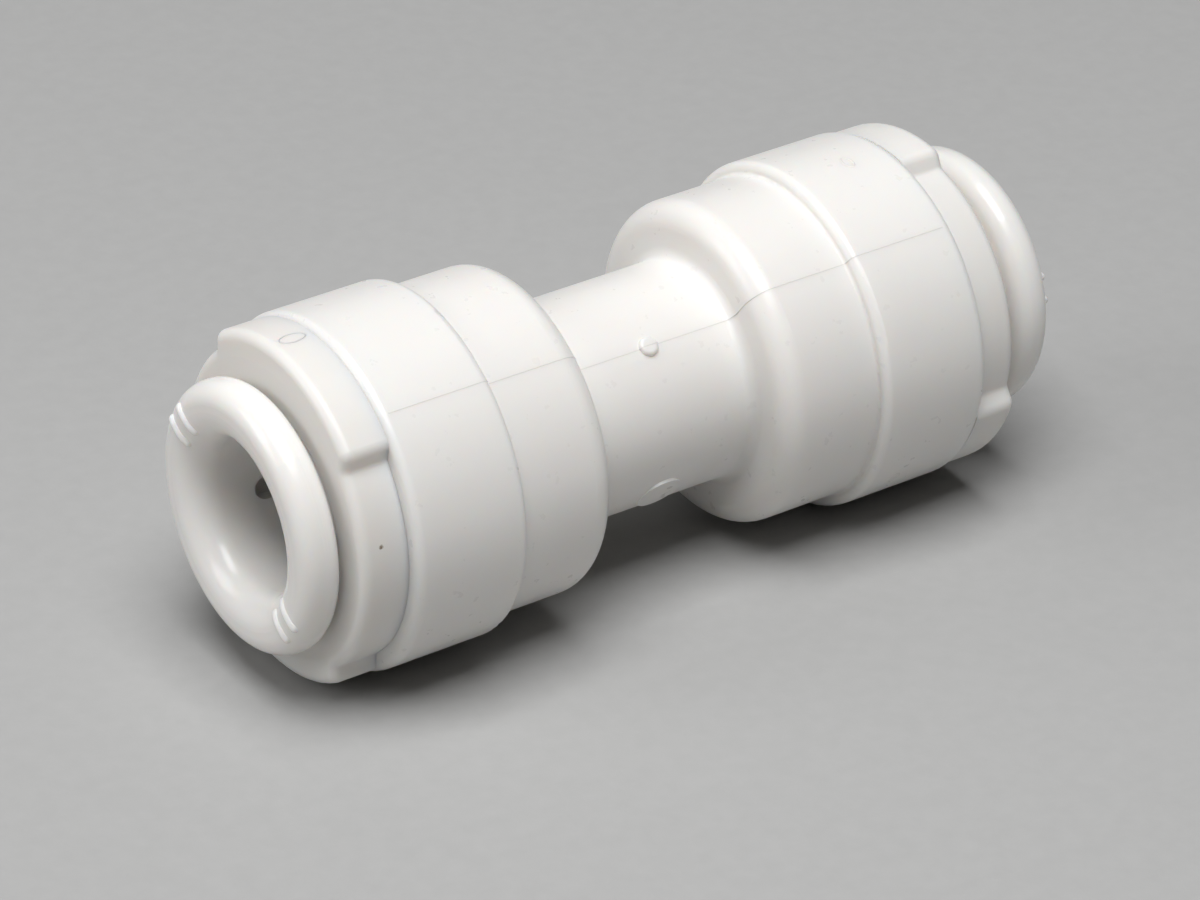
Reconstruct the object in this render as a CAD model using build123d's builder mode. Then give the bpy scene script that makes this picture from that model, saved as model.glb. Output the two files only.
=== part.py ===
from build123d import *
from math import cos, degrees, radians, sin, tan
import os

# Push-fit straight union that joins two ends of quarter-inch tube.
#
# The union stands on its lower collet, with +Z along the tubes and the origin at the bottom centre.
# Both ends are alike, so every piece of an end is drawn in one half-section: radius out from the
# tube's axis, and distance out from the union's mid-plane. Lengths are in millimetres.

# ---------------------------------------------------------------- the tube that the union grips
tube_diameter = 6.35
tube_guide_clearance = 0.06
tube_collet_clearance = 0.075

# ---------------------------------------------------------------- body, measured outwards
tube_stop_half_web = 2.2
water_way_radius = 2.35
tube_guide_length = 4.2
guide_lead_in = 0.3
neck_wall = 1.48
neck_half_length = 4.18
small_band_length = 4.61
small_band_wall = 2.08
counterbore_depth = 4.65
large_band_wall = 1.33
neck_root_fillet = 0.45
shoulder_fillet = 1.0
step_root_fillet = 0.15
step_edge_fillet = 0.35
band_edge_fillet = 0.4

# ---------------------------------------------------------------- marks that moulding leaves
gate_angle = 0
gate_radius = 0.42
gate_height = 0.2
gate_dome_fillet = 0.15
pad_radius = 1.0
pad_height = 0.02
pad_angle = -87

# ---------------------------------------------------------------- O-ring and spacer
o_ring_section = 1.9
o_ring_squeeze = 0.2
o_ring_radial_clearance = 0.02
o_ring_end_play = 0.05
spacer_plug_length = 0.95
spacer_plug_clearance = 0.02
spacer_bore_clearance = 0.12
spacer_flange_thickness = 0.6
spacer_flange_clearance = 0.22
spacer_chamfer = 0.12
spacer_lead_in = 0.24

# ---------------------------------------------------------------- castellated cap
cap_fit_clearance = 0.02
cap_sleeve_wall = 0.8
cap_rim_length = 2.05
cap_rim_step = 0.75
cap_rim_fillet = 0.42
cap_face_width = 0.05
cap_dish_depth = 0.15
cap_mouth_fillet = 0.25
tab_count = 2
tab_angle = 86.5
tab_height = 0.61
tab_end_slope = 40
tab_end_fillet = 0.5
tab_root_fillet = 0.25
upper_tab_start = -11
lower_tab_start = 27

# ---------------------------------------------------------------- collet
collet_travel = 1.15
upper_collet_pressed = 0.98
collet_running_clearance = 0.05
collet_wall = 1.2
collet_end_clearance = 0.1
head_rise = 0.75
head_nose_chamfer = 0.5
head_land_length = 0.4
head_cone_length = 1.4
head_cone_clearance = 0.1
head_chamber_clearance = 0.15
flange_width = 2.45
flange_thickness = 1.75
flange_mouth_fillet = 1.3
flange_front_fillet = 0.85
flange_rear_fillet = 0.75
flange_root_fillet = 0.12
flange_seat_clearance = 0.15
finger_count = 6
finger_slot_width = 0.9
finger_slot_length = 4.35
finger_bore_draft = 0.15
bore_land_setback = 0.05
upper_slot_angle = 148
lower_slot_angle = 20

# ---------------------------------------------------------------- pairs of ridges on the flange
ridge_radius = 0.2
ridge_height = 0.13
ridge_spacing = 1.0
ridge_mouth_lean = 28
ridge_front_lean = 19
ridge_turn_from_slot = -55

# ---------------------------------------------------------------- steel grip teeth
tooth_thickness = 0.3
tooth_width = 1.6
tooth_bite = 0.125
tooth_length = 1.75
tooth_tip_setback = 0.55
tooth_lean = 35

# ---------------------------------------------------------------- radii worked out from the above
tube_radius = tube_diameter / 2
guide_radius = tube_radius + tube_guide_clearance
collet_bore_radius = tube_radius + tube_collet_clearance
o_ring_inner_radius = tube_radius - o_ring_squeeze
o_ring_centre_radius = o_ring_inner_radius + o_ring_section / 2
housing_radius = o_ring_inner_radius + o_ring_section + o_ring_radial_clearance
barrel_radius = collet_bore_radius + collet_wall
mouth_radius = barrel_radius + collet_running_clearance
head_radius = barrel_radius + head_rise
chamber_radius = head_radius + head_chamber_clearance
sleeve_radius = chamber_radius + cap_sleeve_wall
counterbore_radius = sleeve_radius + cap_fit_clearance
neck_radius = guide_radius + neck_wall
small_band_radius = housing_radius + small_band_wall
large_band_radius = counterbore_radius + large_band_wall
cap_rim_radius = large_band_radius - cap_rim_step
tab_radius = cap_rim_radius + tab_height
flange_radius = collet_bore_radius + flange_width
flange_mouth_radius = collet_bore_radius + flange_mouth_fillet
flange_front_radius = flange_radius - flange_front_fillet
ridge_sink = ridge_radius - ridge_height
tooth_tip_radius = tube_radius - tooth_bite
spacer_bore_radius = tube_radius + spacer_bore_clearance
spacer_plug_radius = housing_radius - spacer_plug_clearance
spacer_flange_radius = counterbore_radius - spacer_flange_clearance
cap_face_radius = cap_rim_radius - cap_rim_fillet - cap_face_width

# ---------------------------------------------------------------- stations out from the mid-plane
o_ring_seat = tube_stop_half_web + tube_guide_length
spacer_plug_end = o_ring_seat + o_ring_section + o_ring_end_play
counterbore_floor = spacer_plug_end + spacer_plug_length
spacer_face = counterbore_floor + spacer_flange_thickness
band_face = counterbore_floor + counterbore_depth
step_station = neck_half_length + small_band_length
cap_face = band_face + cap_rim_length
finger_end = spacer_face + collet_end_clearance + collet_travel
head_land_start = finger_end + head_nose_chamfer
head_land_end = head_land_start + head_land_length
head_cone_end = head_land_end + head_cone_length
cone_slope = head_rise / head_cone_length
cap_cone_end = head_cone_end - collet_running_clearance / cone_slope + head_cone_clearance
cap_cone_start = cap_cone_end - (chamber_radius - mouth_radius) / cone_slope
cap_dish_floor = cap_face - cap_dish_depth
flange_rear = cap_dish_floor + flange_seat_clearance + collet_travel
flange_crest = flange_rear + flange_thickness
flange_mouth = flange_crest - flange_mouth_fillet
flange_front = flange_crest - flange_front_fillet
tooth_tip_station = finger_end + tooth_tip_setback
slot_root = finger_end + finger_slot_length
bore_land_start = slot_root + finger_slot_width / 2 + bore_land_setback
mid_height = flange_crest + ridge_height
overall_height = 2 * mid_height - upper_collet_pressed
quarter_turn = 90
half_turn = 180
tab_end_half_angle = degrees(tab_height * tan(radians(tab_end_slope)) / tab_radius) / 2
tab_crest_half_angle = tab_angle / 2 - tab_end_half_angle
tab_root_half_angle = tab_angle / 2 + tab_end_half_angle


def section_plane(outward, angle=0.0, pressed=0.0):
    """Plane through the tube's axis: x runs out from the axis, y towards the mouth of that end."""
    radial = Vector(1, 0, 0).rotate(Axis.Z, angle)
    middle = (0, 0, mid_height - outward * pressed)
    return Plane(middle, x_dir=radial, z_dir=radial.cross(Vector(0, 0, outward)))


def cross_plane(outward, station, angle):
    """Plane across the tube's axis at a station: x points to an angle about it, z out of that end."""
    radial = Vector(1, 0, 0).rotate(Axis.Z, angle)
    return Plane((0, 0, mid_height + outward * station), x_dir=radial, z_dir=(0, 0, outward))


def tangent_plane(angle, radius):
    """Plane at mid-height that faces away from the axis, at an angle about it and a distance out."""
    radial = Vector(1, 0, 0).rotate(Axis.Z, angle)
    return Plane(radial * radius + Vector(0, 0, mid_height), z_dir=radial)


def polar(radius, angle):
    """A point of a sketch at a radius and an angle in degrees."""
    return (radius * cos(radians(angle)), radius * sin(radians(angle)))


def corner(sketch, radius, station):
    """The corner of a half-section that lies nearest to a radius and a station."""
    return sketch.vertices().sort_by_distance((radius, station))[0]


def save(piece, name):
    """Label one finished piece and write its STEP file."""
    piece.part.label = name
    export_step(piece.part, f"parts/{name}.step")


os.makedirs("parts", exist_ok=True)

# ---------------------------------------------------------------- coupling body, one moulding
with BuildPart() as coupling_body:
    with BuildSketch(section_plane(1)) as body_section:
        with BuildLine():
            Polyline(
                (water_way_radius, 0),
                (neck_radius, 0),
                (neck_radius, neck_half_length),
                (small_band_radius, neck_half_length),
                (small_band_radius, step_station),
                (large_band_radius, step_station),
                (large_band_radius, band_face),
                (counterbore_radius, band_face),
                (counterbore_radius, counterbore_floor),
                (housing_radius, counterbore_floor),
                (housing_radius, o_ring_seat),
                (guide_radius, o_ring_seat),
                (guide_radius, tube_stop_half_web),
                (water_way_radius, tube_stop_half_web),
                close=True,
            )
        make_face()
        fillet(corner(body_section, neck_radius, neck_half_length), neck_root_fillet)
        fillet(corner(body_section, small_band_radius, neck_half_length), shoulder_fillet)
        fillet(corner(body_section, small_band_radius, step_station), step_root_fillet)
        fillet(corner(body_section, large_band_radius, step_station), step_edge_fillet)
        fillet(corner(body_section, large_band_radius, band_face), band_edge_fillet)
        chamfer(corner(body_section, guide_radius, o_ring_seat), guide_lead_in)
    revolve(axis=Axis.Z)
    mirror(about=Plane.XY.offset(mid_height))
    # The gate's stub lies on the parting line, and a round pad a quarter of a turn away from it.
    with BuildSketch(tangent_plane(gate_angle, neck_radius - gate_height)):
        Circle(gate_radius)
    extrude(amount=2 * gate_height)
    gate_tip = tangent_plane(gate_angle, neck_radius + gate_height).origin
    gate_top = coupling_body.faces().sort_by_distance(gate_tip)[0]
    fillet(gate_top.edges(), gate_dome_fillet)
    with BuildSketch(tangent_plane(pad_angle, neck_radius - neck_wall / 2)):
        Circle(pad_radius)
    extrude(amount=neck_wall / 2 + pad_height)
save(coupling_body, "coupling_body")

# ---------------------------------------------------------------- the pieces of each end
ends = {
    "upper": (1, upper_tab_start, upper_slot_angle, upper_collet_pressed),
    "lower": (-1, lower_tab_start, lower_slot_angle, 0.0),
}
for end, (outward, tab_start, slot_angle, pressed) in ends.items():
    # The O-ring seals on the tube and on the wall of its housing.
    with BuildPart() as o_ring:
        with BuildSketch(section_plane(outward)):
            with Locations((o_ring_centre_radius, o_ring_seat + o_ring_section / 2)):
                Circle(o_ring_section / 2)
        revolve(axis=Axis.Z)
    save(o_ring, f"{end}_o_ring")

    # The spacer keeps the collet's fingers off the O-ring, and the cap's sleeve holds it down.
    with BuildPart() as spacer:
        with BuildSketch(section_plane(outward)) as spacer_section:
            with BuildLine():
                Polyline(
                    (spacer_bore_radius, spacer_plug_end),
                    (spacer_plug_radius, spacer_plug_end),
                    (spacer_plug_radius, counterbore_floor),
                    (spacer_flange_radius, counterbore_floor),
                    (spacer_flange_radius, spacer_face),
                    (spacer_bore_radius, spacer_face),
                    close=True,
                )
            make_face()
            chamfer(corner(spacer_section, spacer_plug_radius, spacer_plug_end), spacer_chamfer)
            chamfer(corner(spacer_section, spacer_bore_radius, spacer_face), spacer_lead_in)
        revolve(axis=Axis.Z)
    save(spacer, f"{end}_spacer")

    # Raised tabs with sloping ends round the cap's rim give the fingers a grip.
    with BuildPart() as cap_rim:
        with BuildSketch(cross_plane(outward, band_face, tab_start + tab_angle / 2)) as rim_outline:
            Circle(cap_rim_radius)
            for tab in range(tab_count):
                tab_middle = 360 / tab_count * tab
                with BuildLine():
                    tab_sides = Polyline(
                        polar(tab_radius, tab_middle + tab_crest_half_angle),
                        polar(cap_rim_radius, tab_middle + tab_root_half_angle),
                        (0, 0),
                        polar(cap_rim_radius, tab_middle - tab_root_half_angle),
                        polar(tab_radius, tab_middle - tab_crest_half_angle),
                    )
                    ThreePointArc(tab_sides @ 0, polar(tab_radius, tab_middle), tab_sides @ 1)
                make_face()
            fillet(rim_outline.vertices().group_by(SortBy.DISTANCE)[-1], tab_end_fillet)
            fillet(rim_outline.vertices().group_by(SortBy.DISTANCE)[0], tab_root_fillet)
            Circle(cap_face_radius, mode=Mode.SUBTRACT)
        extrude(amount=cap_rim_length)
        rim_face = cap_rim.faces().sort_by(Axis((0, 0, mid_height), (0, 0, outward)))[-1]
        fillet(rim_face.outer_wire().edges(), cap_rim_fillet)

    # The cap's cone squeezes the collet's heads onto the tube when the tube is pulled outwards.
    with BuildPart() as cap:
        with BuildSketch(section_plane(outward)) as cap_section:
            with BuildLine():
                Polyline(
                    (chamber_radius, spacer_face),
                    (sleeve_radius, spacer_face),
                    (sleeve_radius, band_face),
                    (cap_face_radius, band_face),
                    (cap_face_radius, cap_face),
                    (mouth_radius, cap_dish_floor),
                    (mouth_radius, cap_cone_end),
                    (chamber_radius, cap_cone_start),
                    close=True,
                )
            make_face()
            fillet(corner(cap_section, mouth_radius, cap_dish_floor), cap_mouth_fillet)
        revolve(axis=Axis.Z)
        add(cap_rim.part)
    save(cap, f"{end}_cap")

    # Steel teeth lean inwards, so that a tube slides in past them and is held when it is pulled.
    teeth = []
    for finger in range(finger_count):
        finger_angle = slot_angle + 360 / finger_count * (finger + 0.5)
        with BuildPart() as tooth:
            with BuildSketch(section_plane(outward, finger_angle, pressed)):
                with Locations(Location((tooth_tip_radius, tooth_tip_station), tooth_lean)):
                    Rectangle(2 * tooth_length, tooth_thickness)
            extrude(amount=tooth_width / 2, both=True)
            with BuildSketch(Plane.XY):
                Circle(tooth_tip_radius)
            extrude(amount=overall_height, mode=Mode.SUBTRACT)
        save(tooth, f"{end}_tooth_{finger + 1}")
        teeth.append(tooth.part)

    with BuildPart() as collet:
        with BuildSketch(section_plane(outward, 0, pressed)) as collet_section:
            with BuildLine():
                Polyline(
                    (collet_bore_radius, flange_crest),
                    (collet_bore_radius, bore_land_start),
                    (collet_bore_radius + finger_bore_draft, finger_end),
                    (head_radius - head_nose_chamfer, finger_end),
                    (head_radius, head_land_start),
                    (head_radius, head_land_end),
                    (barrel_radius, head_cone_end),
                    (barrel_radius, flange_rear),
                    (flange_radius, flange_rear),
                    (flange_radius, flange_crest),
                    close=True,
                )
            make_face()
            fillet(corner(collet_section, collet_bore_radius, flange_crest), flange_mouth_fillet)
            fillet(corner(collet_section, flange_radius, flange_crest), flange_front_fillet)
            fillet(corner(collet_section, flange_radius, flange_rear), flange_rear_fillet)
            fillet(corner(collet_section, barrel_radius, flange_rear), flange_root_fillet)
        revolve(axis=Axis.Z)
        # Two opposite pairs of short round ridges follow the flange's front from its mouth to its rim.
        for side in range(2):
            ridge_angle = slot_angle + ridge_turn_from_slot + half_turn * side
            for place in (-0.5, 0.5):
                ridge_plane = section_plane(outward, ridge_angle, pressed).offset(place * ridge_spacing)
                with BuildLine(ridge_plane) as ridge_spine:
                    mouth_arc = CenterArc(
                        (flange_mouth_radius, flange_mouth),
                        flange_mouth_fillet - ridge_sink,
                        quarter_turn,
                        ridge_mouth_lean,
                    )
                    front_arc = CenterArc(
                        (flange_front_radius, flange_front),
                        flange_front_fillet - ridge_sink,
                        quarter_turn,
                        -ridge_front_lean,
                    )
                    Line(mouth_arc @ 0, front_arc @ 0)
                ridge_path = ridge_spine.wire()
                with BuildSketch(Plane(ridge_path @ 0, z_dir=ridge_path % 0)):
                    Circle(ridge_radius)
                sweep(path=ridge_path)
                with Locations(ridge_path @ 0, ridge_path @ 1):
                    Sphere(ridge_radius)
        # Slots with round ends part the fingers, two opposite slots at a time. The bore is drafted there.
        for slot in range(finger_count // 2):
            slot_side = slot_angle + 360 / finger_count * slot + quarter_turn
            with BuildSketch(section_plane(outward, slot_side, pressed)):
                with Locations((0, slot_root)):
                    Circle(finger_slot_width / 2)
                with Locations((0, slot_root)):
                    Rectangle(finger_slot_width, 2 * finger_slot_length, align=(Align.CENTER, Align.MAX))
            extrude(amount=2 * head_radius, both=True, mode=Mode.SUBTRACT)
        for tooth_part in teeth:
            add(tooth_part, mode=Mode.SUBTRACT)
    save(collet, f"{end}_collet")
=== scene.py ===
# %% [markdown]
# # A push-fit tube coupling, dressed for the camera
#
# The coupling joins two ends of quarter-inch tube. Its shape comes from the CAD model, which is
# loaded as a frame that never moves. This lesson adds what a drawing leaves out: the thin marks
# that the mould leaves, the look of glossy white acetal, black rubber and steel, and soft light.

# %% Load the frame
import math

import bmesh
import bpy
from mathutils import Matrix, Vector


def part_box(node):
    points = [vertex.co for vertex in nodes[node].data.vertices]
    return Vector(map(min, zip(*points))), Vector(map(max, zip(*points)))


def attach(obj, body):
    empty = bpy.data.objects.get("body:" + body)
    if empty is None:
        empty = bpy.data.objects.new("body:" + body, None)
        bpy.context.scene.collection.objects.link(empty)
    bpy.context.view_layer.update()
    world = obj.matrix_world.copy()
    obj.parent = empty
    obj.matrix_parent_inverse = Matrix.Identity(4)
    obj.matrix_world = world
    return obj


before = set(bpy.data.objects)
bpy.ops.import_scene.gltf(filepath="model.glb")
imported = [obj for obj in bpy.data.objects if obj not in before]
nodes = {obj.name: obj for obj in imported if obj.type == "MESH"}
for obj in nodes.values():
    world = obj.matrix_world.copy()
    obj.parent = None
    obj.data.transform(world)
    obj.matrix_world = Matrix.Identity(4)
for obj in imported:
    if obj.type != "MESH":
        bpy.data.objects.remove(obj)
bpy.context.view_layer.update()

# %% [markdown]
# Positions come from the boxes of the CAD nodes, so nothing here has to be measured again. The
# tubes' axis is the Z axis, and the middle of the body is half-way up it.

# %% Sizes that the frame gives
MM = 0.001
body_low, body_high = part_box("coupling_body")
middle = Vector((0, 0, (body_low.z + body_high.z) / 2))
band_radius = max(body_high.y, -body_low.y)
print("middle at", round(middle.z / MM, 2), "mm, band radius", round(band_radius / MM, 2), "mm")

# %% [markdown]
# ## Camera
# The coupling is shown lying down, and it is modelled standing on one end. A camera can roll, so
# it is the camera that lies down: it is placed by how the axis of the tubes runs across its view.
# One angle lies between that axis and the line of sight, and one is how far the axis leans.

# %% Place the camera
axis_to_sight = math.radians(60.65)
axis_lean = math.radians(19.17)
turn_about_axis = math.radians(65)
camera_distance = 0.2274
lens_mm = 166.5
sensor_mm = 36
middle_right = 0.236 * MM
middle_up = 2.248 * MM

axis_seen = -Vector((
    math.sin(axis_to_sight) * math.cos(axis_lean),
    math.sin(axis_to_sight) * math.sin(axis_lean),
    -math.cos(axis_to_sight),
))
upward = Vector((0, 1, 0)) - axis_seen * axis_seen.y
upward.normalize()
sideways = axis_seen.cross(upward)
x_seen = upward * math.cos(turn_about_axis) - sideways * math.sin(turn_about_axis)
y_seen = upward * math.sin(turn_about_axis) + sideways * math.cos(turn_about_axis)
from_camera = Matrix((x_seen, y_seen, axis_seen))

camera_data = bpy.data.cameras.new("camera")
camera_data.sensor_width = sensor_mm
camera_data.lens = lens_mm
camera_data.clip_start = 0.01
camera_data.clip_end = 10
camera = bpy.data.objects.new("camera", camera_data)
bpy.context.scene.collection.objects.link(camera)
place = middle - from_camera @ Vector((middle_right, middle_up, -camera_distance))
camera.matrix_world = Matrix.Translation(place) @ from_camera.to_4x4()
bpy.context.scene.camera = camera
print("camera at", [round(v, 4) for v in place])

# %% [markdown]
# ## Floor
# The floor is what the bands of the coupling lie on in this view: a plane along the axis that
# touches the widest band. It is part of the stage and not of the coupling.

# %% Make the floor
right = from_camera @ Vector((1, 0, 0))
floor_up = Vector((0, 0, 1)).cross(right).normalized()
if (from_camera @ Vector((0, 1, 0))).dot(floor_up) < 0:
    floor_up = -floor_up
floor_back = floor_up.cross(right).normalized()
floor_middle = middle - floor_up * band_radius


def stage_point(across, back, up):
    """A point given from where the coupling touches the floor: to the right, away and upwards."""
    return floor_middle + right * across + floor_back * back + floor_up * up


def mesh_piece(name, points, faces):
    """Make a mesh object from points and faces."""
    mesh = bpy.data.meshes.new(name)
    mesh.from_pydata([tuple(p) for p in points], [], faces)
    mesh.update()
    piece = bpy.data.objects.new(name, mesh)
    bpy.context.scene.collection.objects.link(piece)
    return piece


floor_reach = 0.6
corners = [(-1, -1), (1, -1), (1, 1), (-1, 1)]
floor_points = [stage_point(floor_reach * x, floor_reach * y, 0) for x, y in corners]
floor = mesh_piece("floor", floor_points, [(0, 1, 2, 3)])
print("floor", round(2 * floor_reach, 2), "m wide, at", [round(v, 4) for v in floor_middle])

# %% [markdown]
# ## Materials
# Every pattern reads Object coordinates, scaled so that one unit is a millimetre. A small helper
# makes the nodes that all finishes share.


# %% Helpers for materials
def new_material(name):
    """An empty material with a principled shader, and coordinates in millimetres."""
    material = bpy.data.materials.new(name)
    material.use_nodes = True
    tree = material.node_tree
    tree.nodes.clear()
    output = tree.nodes.new("ShaderNodeOutputMaterial")
    shader = tree.nodes.new("ShaderNodeBsdfPrincipled")
    tree.links.new(shader.outputs["BSDF"], output.inputs["Surface"])
    place_node = tree.nodes.new("ShaderNodeTexCoord")
    scale = tree.nodes.new("ShaderNodeMapping")
    scale.name = "millimetres"
    scale.inputs["Scale"].default_value = (1000, 1000, 1000)
    tree.links.new(place_node.outputs["Object"], scale.inputs["Vector"])
    return material, tree, shader, scale.outputs["Vector"]


def noise(tree, place_socket, per_mm, detail=2.0, roughness=0.5):
    """A noise texture with a number of bumps in each millimetre."""
    node = tree.nodes.new("ShaderNodeTexNoise")
    node.inputs["Scale"].default_value = per_mm
    node.inputs["Detail"].default_value = detail
    node.inputs["Roughness"].default_value = roughness
    tree.links.new(place_socket, node.inputs["Vector"])
    return node.outputs["Fac"]


def spread(tree, value, low, high):
    """Turn a noise value into a number between low and high."""
    node = tree.nodes.new("ShaderNodeMapRange")
    node.inputs["From Min"].default_value = 0.3
    node.inputs["From Max"].default_value = 0.7
    node.inputs["To Min"].default_value = low
    node.inputs["To Max"].default_value = high
    tree.links.new(value, node.inputs["Value"])
    return node.outputs["Result"]


def blend_colours(tree, factor, first, second):
    """Mix two colours by a factor between 0 and 1. A colour may be a socket."""
    node = tree.nodes.new("ShaderNodeMix")
    node.data_type = "RGBA"
    tree.links.new(factor, node.inputs["Factor"])
    for socket, colour in ((node.inputs[6], first), (node.inputs[7], second)):
        if isinstance(colour, tuple):
            socket.default_value = (*colour, 1)
        else:
            tree.links.new(colour, socket)
    return node.outputs[2]


def bump(tree, height, distance_mm, strength, before=None):
    """Tilt the surface by a height pattern, on top of an earlier bump."""
    node = tree.nodes.new("ShaderNodeBump")
    node.inputs["Strength"].default_value = strength
    node.inputs["Distance"].default_value = distance_mm * MM
    tree.links.new(height, node.inputs["Height"])
    if before is not None:
        tree.links.new(before, node.inputs["Normal"])
    return node.outputs["Normal"]


# %% [markdown]
# ### White acetal
# Acetal is a hard, waxy plastic. Light goes a little way into it, red light furthest, so its
# shaded sides are warm and soft. Its skin copies the steel of the mould: nearly smooth, with a
# fine grain and with very shallow sinks where thick walls have shrunk. The faint clouds of its
# tone follow how the melt flowed. One function makes every white finish, with its own gloss. Only
# the seams get no glow, because light that enters so thin a bead would be lost inside the body.


# %% Acetal
cloud_per_mm = 0.22
sheen_per_mm = 1.6
sink_per_mm = 0.35
sink_depth_mm = 0.006
grain_per_mm = 9.0
grain_depth_mm = 0.0006
acetal_ior = 1.48
glow_by_colour = (1.0, 0.72, 0.5)
glow_reach = 1.2 * MM


def acetal(name, pale, deep, gloss, grain, glow=0.5):
    """Glossy white moulded plastic: pale and deep are its two tones, glow lets light into it."""
    material, tree, shader, mm = new_material(name)
    clouds = spread(tree, noise(tree, mm, cloud_per_mm, 3.0), 0, 1)
    colour = blend_colours(tree, clouds, pale, deep)
    tree.links.new(colour, shader.inputs["Base Color"])
    sheen = spread(tree, noise(tree, mm, sheen_per_mm, 3.0), gloss - 0.03, gloss + 0.05)
    tree.links.new(sheen, shader.inputs["Roughness"])
    sinks = bump(tree, noise(tree, mm, sink_per_mm, 0.0), sink_depth_mm, 0.5)
    skin = bump(tree, noise(tree, mm, grain_per_mm, 2.0), grain_depth_mm, grain, sinks)
    tree.links.new(skin, shader.inputs["Normal"])
    shader.inputs["IOR"].default_value = acetal_ior
    shader.inputs["Subsurface Weight"].default_value = glow
    shader.inputs["Subsurface Radius"].default_value = glow_by_colour
    shader.inputs["Subsurface Scale"].default_value = glow_reach
    return material


body_acetal = acetal("body_acetal", (0.87, 0.85, 0.82), (0.855, 0.835, 0.805), 0.3, 0.35)
cap_acetal = acetal("cap_acetal", (0.83, 0.809, 0.777), (0.81, 0.789, 0.756), 0.4, 0.4)
collet_acetal = acetal("collet_acetal", (0.875, 0.857, 0.83), (0.865, 0.847, 0.82), 0.22, 0.25)
spacer_acetal = acetal("spacer_acetal", (0.82, 0.80, 0.77), (0.79, 0.77, 0.74), 0.4, 0.6)
seam_acetal = acetal("seam_acetal", (0.80, 0.782, 0.755), (0.775, 0.757, 0.73), 0.35, 0.4, 0)
whites = (body_acetal, cap_acetal, collet_acetal, spacer_acetal, seam_acetal)
print("white finishes:", [white.name for white in whites])

# %% [markdown]
# A moulding often holds one burnt fleck of plastic. The upper cap has it in the gap between its
# raised tabs. It is a dark spot in the colour, found by its distance from one point, and a little
# noise in that distance makes its outline ragged.

# %% A burnt fleck in the cap
fleck_angle = math.radians(-40)
fleck_radius = 6.75
fleck_above_middle = 15.15
fleck_size = 0.07
fleck_raggedness = 0.2
fleck_edge = (0.08, 0.15)
fleck_colour = (0.22, 0.17, 0.11)
tree = cap_acetal.node_tree
mm = tree.nodes["millimetres"].outputs["Vector"]
away = tree.nodes.new("ShaderNodeVectorMath")
away.operation = "DISTANCE"
tree.links.new(mm, away.inputs[0])
away.inputs[1].default_value = (
    fleck_radius * math.cos(fleck_angle),
    fleck_radius * math.sin(fleck_angle),
    middle.z / MM + fleck_above_middle,
)
ragged = tree.nodes.new("ShaderNodeMath")
ragged.operation = "MULTIPLY_ADD"
tree.links.new(noise(tree, mm, 7.0), ragged.inputs[0])
ragged.inputs[1].default_value = fleck_raggedness
tree.links.new(away.outputs["Value"], ragged.inputs[2])
inside = tree.nodes.new("ShaderNodeMapRange")
inside.inputs["From Min"].default_value = fleck_size + fleck_edge[0]
inside.inputs["From Max"].default_value = fleck_size + fleck_edge[1]
inside.inputs["To Min"].default_value = 0
inside.inputs["To Max"].default_value = 1
tree.links.new(ragged.outputs[0], inside.inputs["Value"])
shader = next(node for node in tree.nodes if node.type == "BSDF_PRINCIPLED")
clean = shader.inputs["Base Color"].links[0].from_socket
flecked = blend_colours(tree, inside.outputs["Result"], fleck_colour, clean)
tree.links.new(flecked, shader.inputs["Base Color"])
print("fleck at", [round(v, 2) for v in away.inputs[1].default_value], "mm")

# %% [markdown]
# ### Rubber and steel
# The O-rings are black rubber with a fine matte skin, and the grip teeth are punched from bright
# spring steel, with marks along the way that the strip was rolled. Plain colours would do for
# pieces so deep in the bore, but the patterns cost little and hold up when a collet is cut open.

# %% Rubber
seal_rubber, tree, shader, mm = new_material("seal_rubber")
tint = spread(tree, noise(tree, mm, 0.8, 2.0), 0, 1)
black = blend_colours(tree, tint, (0.022, 0.022, 0.023), (0.034, 0.034, 0.035))
tree.links.new(black, shader.inputs["Base Color"])
tree.links.new(spread(tree, noise(tree, mm, 3.0), 0.5, 0.65), shader.inputs["Roughness"])
tree.links.new(bump(tree, noise(tree, mm, 14.0), 0.003, 0.6), shader.inputs["Normal"])

# %% Steel
tooth_steel, tree, shader, mm = new_material("tooth_steel")
strip = tree.nodes.new("ShaderNodeMapping")
strip.inputs["Scale"].default_value = (1, 1, 12)
tree.links.new(mm, strip.inputs["Vector"])
marks = spread(tree, noise(tree, strip.outputs["Vector"], 2.0, 3.0), 0, 1)
bright = blend_colours(tree, marks, (0.56, 0.56, 0.55), (0.68, 0.68, 0.66))
tree.links.new(bright, shader.inputs["Base Color"])
polish = spread(tree, noise(tree, strip.outputs["Vector"], 3.0), 0.22, 0.38)
tree.links.new(polish, shader.inputs["Roughness"])
shader.inputs["Metallic"].default_value = 1
tree.links.new(bump(tree, marks, 0.001, 0.4), shader.inputs["Normal"])

# %% [markdown]
# Each CAD node keeps its shape and takes its finish by what it is. The material slots of a
# carried-over node belong to its object, so they are set there.

# %% Finish the CAD nodes
finishes = {
    "coupling_body": body_acetal,
    "cap": cap_acetal,
    "collet": collet_acetal,
    "spacer": spacer_acetal,
    "o_ring": seal_rubber,
    "tooth": tooth_steel,
}
for name, node in sorted(nodes.items()):
    kind = next(word for word in finishes if word in name)
    for place_in_list in node.material_slots:
        place_in_list.material = finishes[kind]
print("finished", len(nodes), "nodes")

# %% [markdown]
# ## Parting lines
# The body's mould opens in two halves, and a hair of plastic creeps in where they meet. It runs
# the whole length of the body on both sides, over bands, shoulders and neck. A line of points is
# cast inwards on the body from outside, so that it follows every step, and is given a thin round
# section that is sunk nearly flush. It could be painted in the material, but then it would have no
# edge to catch the light. Geometry Nodes fit it well: the rule holds whatever the body's shape is.


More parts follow.
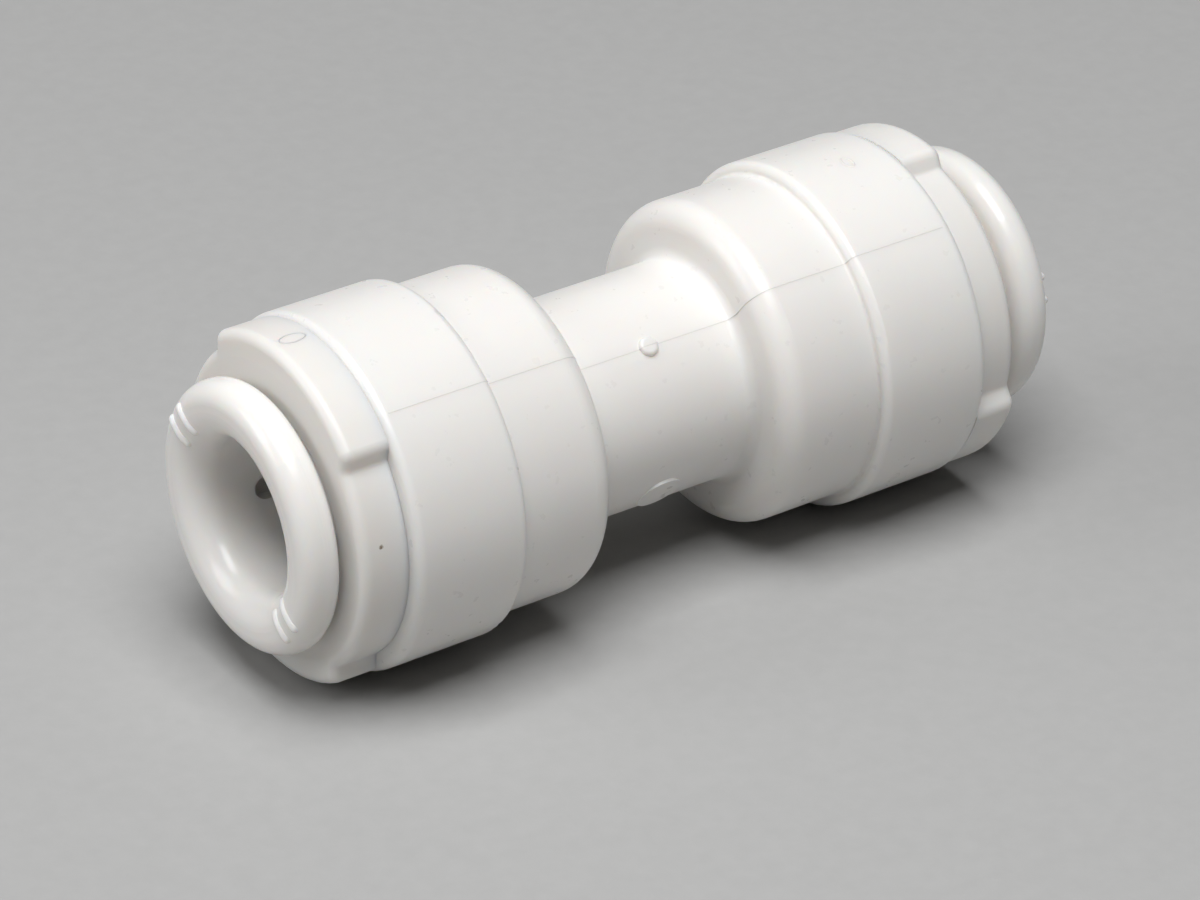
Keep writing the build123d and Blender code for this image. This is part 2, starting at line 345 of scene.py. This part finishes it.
# %% Helpers for lines on a skin
shared_inputs = [
    ("Skin", "NodeSocketObject", None),
    ("Material", "NodeSocketMaterial", None),
    ("Cast from", "NodeSocketFloat", 0.02),
    ("Bead radius", "NodeSocketFloat", 0.00003),
    ("Sink", "NodeSocketFloat", 0.0),
]


def add_input(tree, name, kind, value=None):
    """Add a named input to a node tree."""
    socket = tree.interface.new_socket(name=name, in_out="INPUT", socket_type=kind)
    if value is not None:
        socket.default_value = value
    return socket.identifier


def link_math(tree, operation, first, second=None):
    """A maths node whose inputs are numbers or sockets."""
    node = tree.nodes.new("ShaderNodeMath")
    node.operation = operation
    for socket, value in zip(node.inputs, (first, second)):
        if value is None:
            continue
        if isinstance(value, (int, float)):
            socket.default_value = value
        else:
            tree.links.new(value, socket)
    return node.outputs[0]


def cast_on_skin(tree, group, angle, height, start):
    """Cast inwards from outside on the skin object, and give where the ray lands."""
    spot = tree.nodes.new("ShaderNodeCombineXYZ")
    across = link_math(tree, "COSINE", angle)
    along = link_math(tree, "SINE", angle)
    tree.links.new(link_math(tree, "MULTIPLY", across, start), spot.inputs["X"])
    tree.links.new(link_math(tree, "MULTIPLY", along, start), spot.inputs["Y"])
    tree.links.new(height, spot.inputs["Z"])
    inwards = tree.nodes.new("ShaderNodeCombineXYZ")
    tree.links.new(link_math(tree, "MULTIPLY", across, -1.0), inwards.inputs["X"])
    tree.links.new(link_math(tree, "MULTIPLY", along, -1.0), inwards.inputs["Y"])
    skin = tree.nodes.new("GeometryNodeObjectInfo")
    skin.transform_space = "RELATIVE"
    tree.links.new(group.outputs["Skin"], skin.inputs["Object"])
    ray = tree.nodes.new("GeometryNodeRaycast")
    tree.links.new(skin.outputs["Geometry"], ray.inputs["Target Geometry"])
    tree.links.new(spot.outputs["Vector"], ray.inputs["Source Position"])
    tree.links.new(inwards.outputs["Vector"], ray.inputs["Ray Direction"])
    tree.links.new(start, ray.inputs["Ray Length"])
    sunk = tree.nodes.new("ShaderNodeVectorMath")
    sunk.operation = "SCALE"
    tree.links.new(inwards.outputs["Vector"], sunk.inputs[0])
    tree.links.new(group.outputs["Sink"], sunk.inputs["Scale"])
    lower = tree.nodes.new("ShaderNodeVectorMath")
    lower.operation = "ADD"
    tree.links.new(ray.outputs["Hit Position"], lower.inputs[0])
    tree.links.new(sunk.outputs["Vector"], lower.inputs[1])
    return lower.outputs["Vector"]


def line_tree(name, own_inputs):
    """Start a tree that lays a line on a skin, and give its inputs by title and its two ends."""
    tree = bpy.data.node_groups.new(name, "GeometryNodeTree")
    tree.interface.new_socket(
        name="Geometry", in_out="OUTPUT", socket_type="NodeSocketGeometry")
    inputs = {}
    for title, kind, value in shared_inputs + own_inputs:
        inputs[title] = add_input(tree, title, kind, value)
    return tree, inputs, tree.nodes.new("NodeGroupInput"), tree.nodes.new("NodeGroupOutput")


def make_bead(tree, group, line, output):
    """Give a line a thin round section, a material, and no instances."""
    ring = tree.nodes.new("GeometryNodeCurvePrimitiveCircle")
    ring.inputs["Resolution"].default_value = 8
    tree.links.new(group.outputs["Bead radius"], ring.inputs["Radius"])
    sweep = tree.nodes.new("GeometryNodeCurveToMesh")
    tree.links.new(line, sweep.inputs["Curve"])
    tree.links.new(ring.outputs["Curve"], sweep.inputs["Profile Curve"])
    sweep.inputs["Fill Caps"].default_value = True
    real = tree.nodes.new("GeometryNodeRealizeInstances")
    finish = tree.nodes.new("GeometryNodeSetMaterial")
    tree.links.new(sweep.outputs["Mesh"], real.inputs["Geometry"])
    tree.links.new(real.outputs["Geometry"], finish.inputs["Geometry"])
    tree.links.new(group.outputs["Material"], finish.inputs["Material"])
    tree.links.new(finish.outputs["Geometry"], output.inputs["Geometry"])


# %% A tree that lays thin lines along a body
parting_tree, parting_inputs, group, output = line_tree("parting_lines", [
    ("Lines", "NodeSocketInt", 2),
    ("Points", "NodeSocketInt", 500),
    ("Bottom", "NodeSocketFloat", 0.0),
    ("Top", "NodeSocketFloat", 0.03),
    ("First angle", "NodeSocketFloat", 0.0),
])
low_end = parting_tree.nodes.new("ShaderNodeCombineXYZ")
high_end = parting_tree.nodes.new("ShaderNodeCombineXYZ")
parting_tree.links.new(group.outputs["Bottom"], low_end.inputs["Z"])
parting_tree.links.new(group.outputs["Top"], high_end.inputs["Z"])
upright = parting_tree.nodes.new("GeometryNodeCurvePrimitiveLine")
parting_tree.links.new(low_end.outputs["Vector"], upright.inputs["Start"])
parting_tree.links.new(high_end.outputs["Vector"], upright.inputs["End"])
divided = parting_tree.nodes.new("GeometryNodeResampleCurve")
parting_tree.links.new(upright.outputs["Curve"], divided.inputs["Curve"])
parting_tree.links.new(group.outputs["Points"], divided.inputs["Count"])
copies = parting_tree.nodes.new("GeometryNodeDuplicateElements")
copies.domain = "SPLINE"
parting_tree.links.new(divided.outputs["Curve"], copies.inputs["Geometry"])
parting_tree.links.new(group.outputs["Lines"], copies.inputs["Amount"])
step = link_math(parting_tree, "DIVIDE", 2 * math.pi, group.outputs["Lines"])
angle = link_math(parting_tree, "MULTIPLY", copies.outputs["Duplicate Index"], step)
angle = link_math(parting_tree, "ADD", angle, group.outputs["First angle"])
position = parting_tree.nodes.new("GeometryNodeInputPosition")
split = parting_tree.nodes.new("ShaderNodeSeparateXYZ")
parting_tree.links.new(position.outputs["Position"], split.inputs["Vector"])
landed = cast_on_skin(parting_tree, group, angle, split.outputs["Z"], group.outputs["Cast from"])
lay = parting_tree.nodes.new("GeometryNodeSetPosition")
parting_tree.links.new(copies.outputs["Geometry"], lay.inputs["Geometry"])
parting_tree.links.new(landed, lay.inputs["Position"])
make_bead(parting_tree, group, lay.outputs["Geometry"], output)


# %% [markdown]
# A tree's result becomes a plain mesh, so that nothing has to be worked out again later. Its
# points are welded where the sweep doubles them, and its faces are turned outwards.


# %% Run a tree and keep its mesh
weld_distance = 1e-7


def grow(name, tree, inputs, values):
    """Run a node tree on an empty mesh and return a piece with the plain result."""
    piece = bpy.data.objects.new(name, bpy.data.meshes.new(name))
    bpy.context.scene.collection.objects.link(piece)
    modifier = piece.modifiers.new("grow", "NODES")
    modifier.node_group = tree
    for title, value in values.items():
        modifier[inputs[title]] = value
    graph = bpy.context.evaluated_depsgraph_get()
    grown = bpy.data.meshes.new_from_object(piece.evaluated_get(graph))
    piece.modifiers.remove(modifier)
    piece.data = grown
    work = bmesh.new()
    work.from_mesh(grown)
    bmesh.ops.remove_doubles(work, verts=work.verts, dist=weld_distance)
    bmesh.ops.recalc_face_normals(work, faces=work.faces)
    work.to_mesh(grown)
    work.free()
    for face in grown.polygons:
        face.use_smooth = True
    grown.name = name
    print(name, len(grown.polygons), "faces")
    return piece


# %% Lay the parting lines
edge_round = 0.45 * MM
seam_bead = 0.03 * MM
seam_sink = 0.022 * MM
ray_start = 2 * band_radius
parting_lines = grow("parting_lines", parting_tree, parting_inputs, {
    "Skin": nodes["coupling_body"],
    "Material": seam_acetal,
    "Lines": 2,
    "Points": 640,
    "Bottom": body_low.z + edge_round,
    "Top": body_high.z - edge_round,
    "First angle": 0.0,
    "Cast from": ray_start,
    "Bead radius": seam_bead,
    "Sink": seam_sink,
})
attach(parting_lines, "coupling")

# %% [markdown]
# ## Pin marks
# The pins that push a moulding out of its mould leave small oval rings on it, one on a tab of the
# upper cap and two on the lower band. Each ring is drawn as a circle of points, stretched to an
# oval, and cast on the skin as the parting line is, so it bends round the surface that it marks.
# A ring cut into the model would need a new drawing each time a mark moved.

# %% A tree that lays an oval ring on a surface
ring_tree, ring_inputs, group, output = line_tree("pin_mark", [
    ("Angle", "NodeSocketFloat", 0.0),
    ("Height", "NodeSocketFloat", 0.0),
    ("Half turn across", "NodeSocketFloat", 0.05),
    ("Half height", "NodeSocketFloat", 0.0005),
])
unit_ring = ring_tree.nodes.new("GeometryNodeCurvePrimitiveCircle")
unit_ring.inputs["Resolution"].default_value = 48
unit_ring.inputs["Radius"].default_value = 1
position = ring_tree.nodes.new("GeometryNodeInputPosition")
split = ring_tree.nodes.new("ShaderNodeSeparateXYZ")
ring_tree.links.new(position.outputs["Position"], split.inputs["Vector"])
across = link_math(ring_tree, "MULTIPLY", split.outputs["X"], group.outputs["Half turn across"])
angle = link_math(ring_tree, "ADD", across, group.outputs["Angle"])
along = link_math(ring_tree, "MULTIPLY", split.outputs["Y"], group.outputs["Half height"])
height = link_math(ring_tree, "ADD", along, group.outputs["Height"])
landed = cast_on_skin(ring_tree, group, angle, height, group.outputs["Cast from"])
lay = ring_tree.nodes.new("GeometryNodeSetPosition")
ring_tree.links.new(unit_ring.outputs["Curve"], lay.inputs["Geometry"])
ring_tree.links.new(landed, lay.inputs["Position"])
make_bead(ring_tree, group, lay.outputs["Geometry"], output)

# %% Lay the pin marks
mark_bead = 0.04 * MM
mark_sink = 0.025 * MM
# Each row: name, skin, slot, finish, angle in degrees, and three lengths in millimetres, which are
# its height above the middle, its width and its height.
pin_marks = [
    ("cap_pin_mark", "upper_cap", "moulded_cap", cap_acetal, 39.6, 14.85, 0.64, 1.15),
    ("band_pin_mark_1", "coupling_body", "moulded_body", seam_acetal, 35.8, -11.8, 0.8, 0.42),
    ("band_pin_mark_2", "coupling_body", "moulded_body", seam_acetal, -87.5, -10.4, 0.75, 0.42),
]
for name, skin, slot, finish, angle_deg, above_middle, across_mm, high_mm in pin_marks:
    mark = grow(name, ring_tree, ring_inputs, {
        "Skin": nodes[skin],
        "Material": finish,
        "Angle": math.radians(angle_deg),
        "Height": middle.z + above_middle * MM,
        "Half turn across": across_mm * MM / 2 / band_radius,
        "Half height": high_mm * MM / 2,
        "Cast from": ray_start,
        "Bead radius": mark_bead,
        "Sink": mark_sink,
    })
    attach(mark, "coupling")

# %% [markdown]
# ## Light
# One wide soft lamp hangs above and a little towards the viewer. It makes the top of the coupling
# bright, lets its lower sides fall off gently, and draws its shadow close under it. A second,
# weaker lamp stands low on the left: it lights the end with the upper cap, and its shadow runs to
# the right. Sunlight would be easier, but its shadows have hard edges, and soft boxes leave none.
# The world is a plain dim grey that only keeps the deepest gaps from going black.


# %% Lamps
lamp_white = (0.99, 0.992, 1.0)
world_grey = (0.95, 0.94, 0.92, 1)
world_strength = 0.008


def soft_lamp(name, place, aim, side, watts):
    """A square lamp that faces a point."""
    data = bpy.data.lights.new(name, "AREA")
    data.shape = "RECTANGLE"
    data.size = side
    data.size_y = side
    data.energy = watts
    data.color = lamp_white
    lamp = bpy.data.objects.new(name, data)
    lamp.location = place
    lamp.rotation_mode = "QUATERNION"
    lamp.rotation_quaternion = (aim - place).to_track_quat("-Z", "Y")
    bpy.context.scene.collection.objects.link(lamp)
    return lamp


soft_lamp("overhead", stage_point(0, -0.12, 0.48), middle, 0.34, 2.92)
soft_lamp("left_side", stage_point(-0.43, -0.10, 0.23), middle, 0.24, 0.65)

world = bpy.data.worlds.new("studio")
world.use_nodes = True
bpy.context.scene.world = world
background = world.node_tree.nodes["Background"]
background.inputs["Color"].default_value = world_grey
background.inputs["Strength"].default_value = world_strength

# %% [markdown]
# The floor is a sheet of pale grey card with a faint tooth. It is seen from its front only, so
# that it doesn't hide the coupling from a camera behind it.

# %% Finish the floor
card, tree, shader, mm = new_material("floor_card")
tone = spread(tree, noise(tree, mm, 1.2, 4.0), 0, 1)
paper = blend_colours(tree, tone, (0.41, 0.409, 0.403), (0.425, 0.424, 0.418))
tree.links.new(paper, shader.inputs["Base Color"])
shader.inputs["Roughness"].default_value = 0.6
shader.inputs["Specular IOR Level"].default_value = 0.2
tree.links.new(bump(tree, noise(tree, mm, 3.0, 3.0), 0.02, 0.3), shader.inputs["Normal"])
clear = tree.nodes.new("ShaderNodeBsdfTransparent")
side = tree.nodes.new("ShaderNodeNewGeometry")
either = tree.nodes.new("ShaderNodeMixShader")
tree.links.new(side.outputs["Backfacing"], either.inputs["Fac"])
tree.links.new(shader.outputs["BSDF"], either.inputs[1])
tree.links.new(clear.outputs["BSDF"], either.inputs[2])
tree.links.new(either.outputs["Shader"], tree.nodes["Material Output"].inputs["Surface"])
floor.data.materials.append(card)

bpy.context.scene.view_settings.view_transform = "Standard"

# %% Finish
bpy.context.view_layer.update()
